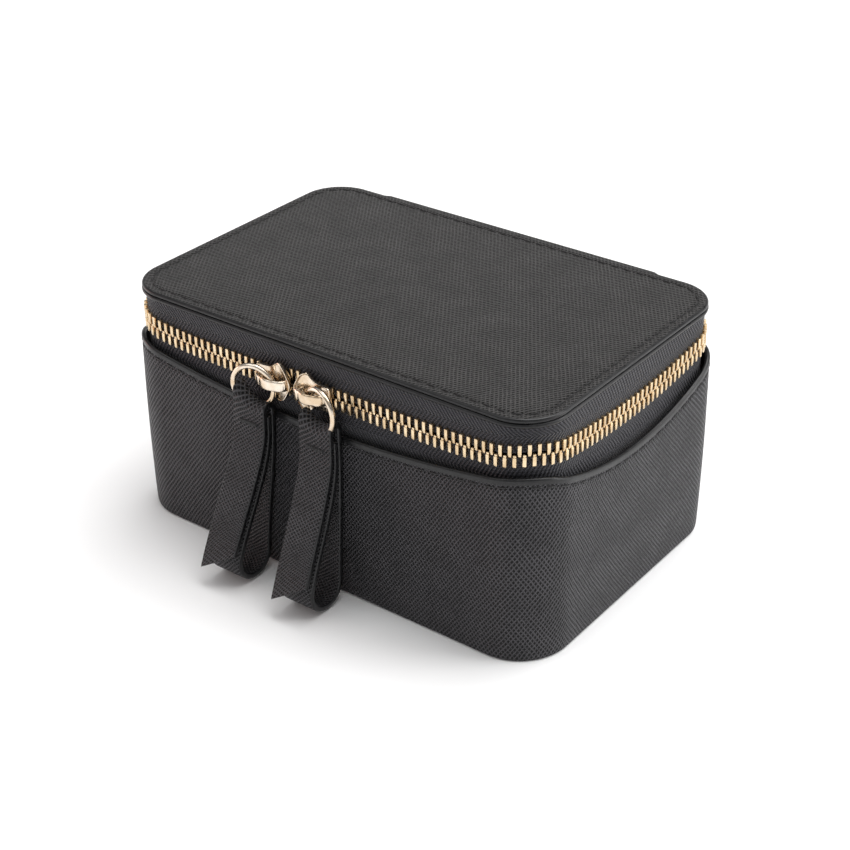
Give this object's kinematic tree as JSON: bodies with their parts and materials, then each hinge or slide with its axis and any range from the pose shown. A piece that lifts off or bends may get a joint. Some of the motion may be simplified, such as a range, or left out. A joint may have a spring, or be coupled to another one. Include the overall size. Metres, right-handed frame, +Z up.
{
  "type": "jewellery case",
  "caption": "Zip-round leather jewellery case with a hinged lid, padded ring rolls, divided compartments and two sliders with leather strap pulls.",
  "frame": {"origin": "centre of the flat resting face, on the surface the case stands on", "axes": "+X left to right seen from the front, +Y from the zip pulls towards the hinge, +Z up"},
  "size_m": [0.1588, 0.1287, 0.0798],
  "materials": {
    "leather": "cross-hatched grain, satin",
    "lid_leather": "cross-hatched grain, satin",
    "board": "grey-brown fibre board, matt",
    "velvet": "charcoal velvet",
    "elastic": "ribbed elastic",
    "tape": "herringbone zip tape, matt",
    "thread": "waxed thread",
    "teeth": "pale gold, polished",
    "hardware": "pale gold, polished"
  },
  "bodies": {
    "case": {"base_panel": "leather", "base_board": "board", "wall_leather": "leather", "base_lining": "velvet", "floor_pad": "velvet", "wall_stitches": "thread", "lower_tape": "tape", "lower_teeth": "teeth", "lower_stops": "teeth", "hinge_leaf_lower": "leather", "roll_bed": "board", "ring_roll_1": "velvet", "ring_roll_2": "velvet", "ring_roll_3": "velvet", "ring_roll_4": "velvet", "roll_divider": "velvet", "cross_divider": "velvet"},
    "lid": {"lid_panel": "lid_leather", "lid_welt": "leather", "lid_board": "board", "lid_lining": "velvet", "lid_pocket": "velvet", "pocket_elastic": "elastic", "lid_stitches": "thread", "upper_tape": "tape", "upper_teeth": "teeth", "upper_stops": "teeth", "hinge_leaf_upper": "leather"},
    "slider_left": {"slider_left": "hardware"},
    "slider_right": {"slider_right": "hardware"},
    "pull_left": {"pull_ring_left": "hardware", "pull_strap_left": "leather", "strap_tack_left": "thread"},
    "pull_right": {"pull_ring_right": "hardware", "pull_strap_right": "leather", "strap_tack_right": "thread"}
  },
  "joints": [
    {"name": "lid_hinge", "type": "hinge", "parent": "case", "child": "lid", "pos_m": [0, 0.0513, 0.0658], "axis": [-1, 0, 0], "range_deg": [0, 110]},
    {"name": "slider_left_slide", "type": "slide", "parent": "case", "child": "slider_left", "axis": [-1, 0, 0], "range_m": [0, 0.03]},
    {"name": "slider_right_slide", "type": "slide", "parent": "case", "child": "slider_right", "axis": [1, 0, 0], "range_m": [0, 0.044]},
    {"name": "pull_left_swing", "type": "hinge", "parent": "slider_left", "child": "pull_left", "pos_m": [-0.01995, -0.05578, 0.0635], "axis": [-0.2588, 0.9659, 0], "range_deg": [0, 60]},
    {"name": "pull_right_swing", "type": "hinge", "parent": "slider_right", "child": "pull_right", "pos_m": [0.00545, -0.05578, 0.0635], "axis": [-0.2588, -0.9659, 0], "range_deg": [0, 60]}
  ]
}
